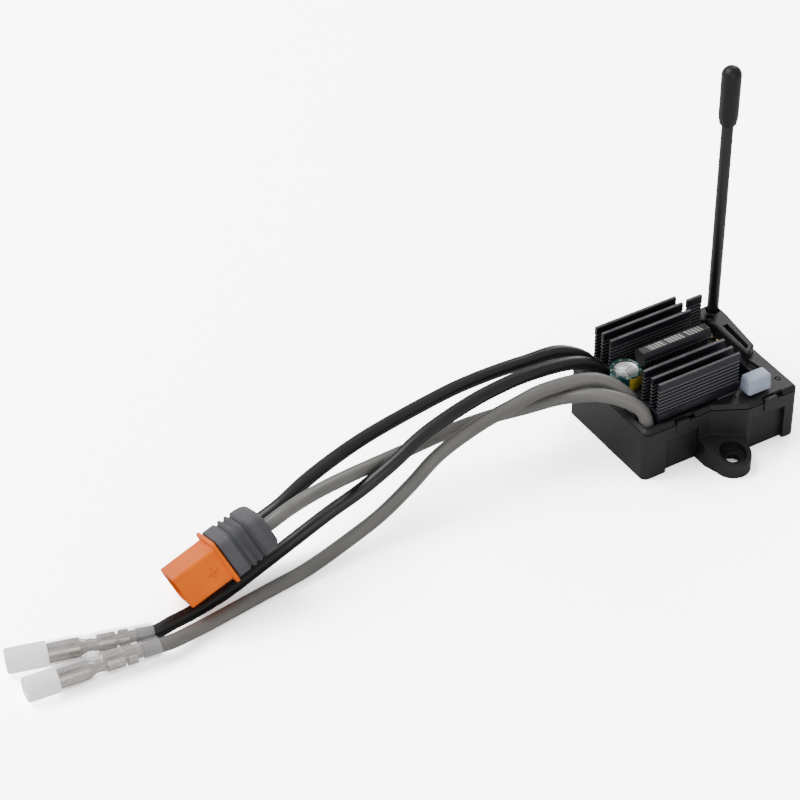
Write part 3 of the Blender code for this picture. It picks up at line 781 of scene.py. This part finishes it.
# paler fin tops in patches: partly rubbed wear, partly painted sheen
top_wear_and_sheen = (sz > FIN_TOP * MM) * cloud.ramp(0.25, 0.55)
from_axis = sy.math("ABSOLUTE")
bar_end = (sx < BAR_END * MM) * (from_axis < BAR_HALF * MM) * (sz > BAR_LOW * MM)
# painted highlights: pale lines along the rib crests
painted_crest_highlights = ((sz * (1 / MM) - RIB_START) / RIB_PITCH).math("FRACT") < 0.27
painted_crest_highlights = painted_crest_highlights * sz.band(RIB_LOW * MM, RIB_HIGH * MM) * (1.0 - bar_end)
panel = sz.band(*(z * MM for z in PANEL_Z)) * (from_axis < PANEL_HALF * MM)
panel = panel * sx.band(*(x * MM for x in PANEL_X))
slant = (sx + sy * 0.3) * (1 / MM)
bars = (slant.math("PINGPONG", 0.42) > 0.16) * ((slant * 0.21).math("FRACT") > 0.16)
etch = panel * bars * cloud.ramp(0.2, 0.5)
dark = sink_look.mix(lines.ramp(0.3, 0.7), (0.005, 0.0055, 0.008), (0.012, 0.013, 0.018))
with_crest_highlights = sink_look.mix(painted_crest_highlights * 0.85, dark, (0.15, 0.15, 0.16))
with_top_wear_and_sheen = sink_look.mix(top_wear_and_sheen * 0.7, with_crest_highlights, (0.1, 0.1, 0.108))
ended = sink_look.mix(bar_end, with_top_wear_and_sheen, (0.004, 0.004, 0.005))
sink_look.set("Base Color", sink_look.mix(etch * 0.8, ended, (0.36, 0.35, 0.32)))
sink_look.set("Roughness", lines * 0.16 + 0.34 - painted_crest_highlights * 0.08 + bar_end * 0.4)
sink_look.bump((lines * 0.5 - etch) * (1.0 - bar_end), 0.02 * MM, 0.5, 0.16 * MM)
dress(sink_look, "heat_sink")

# %% [markdown]
# ## The switch cap
# A soft milky cap slips over the switch lever. Light goes into it, so its finish scatters
# a little below the skin and a noise clouds it.

# %% Milky finish
milky_look = Look("milky_cap", (0.52, 0.57, 0.65), 0.4, subsurface_weight=0.35)
milky_look.set("Subsurface Radius", (0.001, 0.0012, 0.0016))
milky_spot, _ = milky_look.place()
milky_cloud = milky_look.noise(milky_spot, 420.0, 4.0)
milky_look.set("Base Color", milky_look.mix(milky_cloud, (0.3, 0.36, 0.48), (0.46, 0.51, 0.61)))
milky_look.set("Roughness", milky_cloud * 0.25 + 0.3)
milky_look.bump(milky_cloud, 0.15 * MM, 0.5)
dress(milky_look, "switch_slider")

# %% [markdown]
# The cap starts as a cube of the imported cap's size. Its top is drawn in a little, and its
# underside is inset and pushed up to make it hollow. Then every long edge is rounded over,
# except the edges round the ceiling of the hollow, which nobody sees.

# %% Cap
CAP_WALL = 0.45 * MM
CAP_HOLLOW = 2.6 * MM
CAP_ROUND = 0.55 * MM
LONG_EDGE = 2.2 * MM
low, high = (Vector(corner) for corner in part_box("switch_cap"))
middle = (low + high) / 2
cap = bmesh.new()
bmesh.ops.create_cube(cap, size=1.0)
bmesh.ops.scale(cap, vec=high - low, verts=cap.verts)
bmesh.ops.translate(cap, vec=middle, verts=cap.verts)
top = [v for v in cap.verts if v.co.z > middle.z]
bmesh.ops.scale(cap, vec=(0.94, 0.9, 1), verts=top, space=Matrix.Translation(-middle))
bottom = [f for f in cap.faces if f.normal.z < -0.9]
bmesh.ops.inset_region(cap, faces=bottom, thickness=CAP_WALL, use_even_offset=True)
ceiling = list({v for f in bottom for v in f.verts})
bmesh.ops.translate(cap, vec=(0, 0, CAP_HOLLOW), verts=ceiling)
rounded = [e for e in cap.edges if e.calc_length() > LONG_EDGE
           and not any(f in bottom for f in e.link_faces)]
bmesh.ops.bevel(cap, geom=rounded, offset=CAP_ROUND, segments=5, affect="EDGES", profile=0.5,
                material=-1)
finish("cap_skin", cap, milky_look, ["switch_cap"], "power_switch", 50)

# %% [markdown]
# ## The antenna mast
# A thin nylon tube stands in a boss and wears a rubber cap with a domed end. Both are
# turned, with enough steps for a clean outline against a pale ground, and the cap's foot
# has a soft lip.

# %% Mast
DOME_RADIUS = 2.13
DOME_MIDDLE = 75.97
low, high = (Vector(corner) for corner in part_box("antenna_tube"))
mast_at = Matrix.Translation(Vector(((low.x + high.x) / 2, (low.y + high.y) / 2, 0)))
mast_look = moulded("mast_nylon", (0.006, 0.006, 0.007), 0.34, 0.01 * MM, 0)
rubber_look = moulded("mast_rubber", (0.006, 0.006, 0.007), 0.4, 0.03 * MM, 0)
rubber_look.set("Specular IOR Level", 0.35)
mast = spun([(0.8, 12.2), (1.2, 12.2), (1.27, 12.4), (1.27, 70.8), (1.2, 71.0), (0.8, 71.0),
             (0.8, 12.2)])
finish("mast_tube", mast, mast_look, ["antenna_tube"], "antenna_mast",
       at=mast_at)
turns = [math.radians(10 * k) for k in range(9)]
dome = [(DOME_RADIUS * math.cos(a), DOME_MIDDLE + DOME_RADIUS * math.sin(a)) for a in turns]
boot = spun([(0, 71.6), (1.57, 71.3), (1.57, 64.2), (1.72, 64.2), (1.84, 64.35), (1.86, 64.7),
             (2.02, 65.4), (2.1, 66.4), *dome, (0, DOME_MIDDLE + DOME_RADIUS)], 56)
finish("mast_cap", boot, rubber_look, ["antenna_cap"], "antenna_mast", 60,
       mast_at)
dress(black_look, "antenna_wire")

# %% [markdown]
# ## Lead lengths
# The length of each lead is summed along its path, and the sum is not kept.


def declare(name):
    path = paths[name]
    run_length(path)


declare("lead_black_1")
declare("lead_black_2")
declare("lead_grey_a")
declare("lead_grey_b")

# %% [markdown]
# ## Floor
# The setting is a white sweep of paper. A black object wants little light and white paper
# wants much, so the floor is brighter to the camera than to the object: the paper goes
# white, and keeps pale shadows.

# %% Floor
PAPER_SEEN = 5.5
PAPER_LIGHT = 0.7
FLOOR_HALF = 3.0
floor_look = Look("white_sweep", (PAPER_LIGHT,) * 3, 1.0)
seen = floor_look.node("ShaderNodeLightPath", {}, out="Is Camera Ray")
paper = floor_look.node(
    "ShaderNodeBsdfDiffuse", {},
    floor_look.mix(seen, (PAPER_LIGHT,) * 3, (PAPER_SEEN,) * 3),
)
floor_look.feed(floor_look.tree.nodes["Material Output"].inputs["Surface"], paper)
sweep = bmesh.new()
bmesh.ops.create_grid(sweep, x_segments=1, y_segments=1, size=FLOOR_HALF)
floor_mesh = bpy.data.meshes.new("floor")
sweep.to_mesh(floor_mesh)
sweep.free()
floor_mesh.materials.append(floor_look.material)
floor = bpy.data.objects.new("floor", floor_mesh)
scene.collection.objects.link(floor)
print("floor is", 2 * FLOOR_HALF, "m across")

# %% [markdown]
# ## Light
# The light is soft and from above: a broad key from behind on the left, a weaker fill from
# the front, a strip behind on the right for the edges, and an even world. As with the
# paper, the world is brighter to the camera than to the object.

# %% Lights
WORLD_SEEN = 5.0
WORLD_LIGHT = 0.55


def softbox(name, spot, aim, width, height, power):
    light = bpy.data.lights.new(name, "AREA")
    light.energy = power
    light.shape = "RECTANGLE"
    light.size = width
    light.size_y = height
    made = bpy.data.objects.new(name, light)
    made.location = spot
    made.rotation_euler = (Vector(aim) - Vector(spot)).to_track_quat("-Z", "Y").to_euler()
    scene.collection.objects.link(made)


softbox("key", (-0.45, 0.35, 0.75), (-0.05, 0, 0), 0.6, 0.6, 8.0)
softbox("fill", (-0.3, -0.9, 0.5), (-0.05, 0, 0), 0.7, 0.7, 2.6)
softbox("strip", (0.6, 0.5, 0.35), (0, 0, 0.01), 0.25, 0.9, 3.0)
world = bpy.data.worlds.new("studio")
world.use_nodes = True
sky = world.node_tree.nodes["Background"]
sky.inputs["Color"].default_value = (1.0, 1.0, 1.0, 1.0)
to_camera = world.node_tree.nodes.new("ShaderNodeLightPath")
bright = world.node_tree.nodes.new("ShaderNodeMix")
bright.inputs["A"].default_value = WORLD_LIGHT
bright.inputs["B"].default_value = WORLD_SEEN
world.node_tree.links.new(to_camera.outputs["Is Camera Ray"], bright.inputs["Factor"])
world.node_tree.links.new(bright.outputs["Result"], sky.inputs["Strength"])
scene.world = world
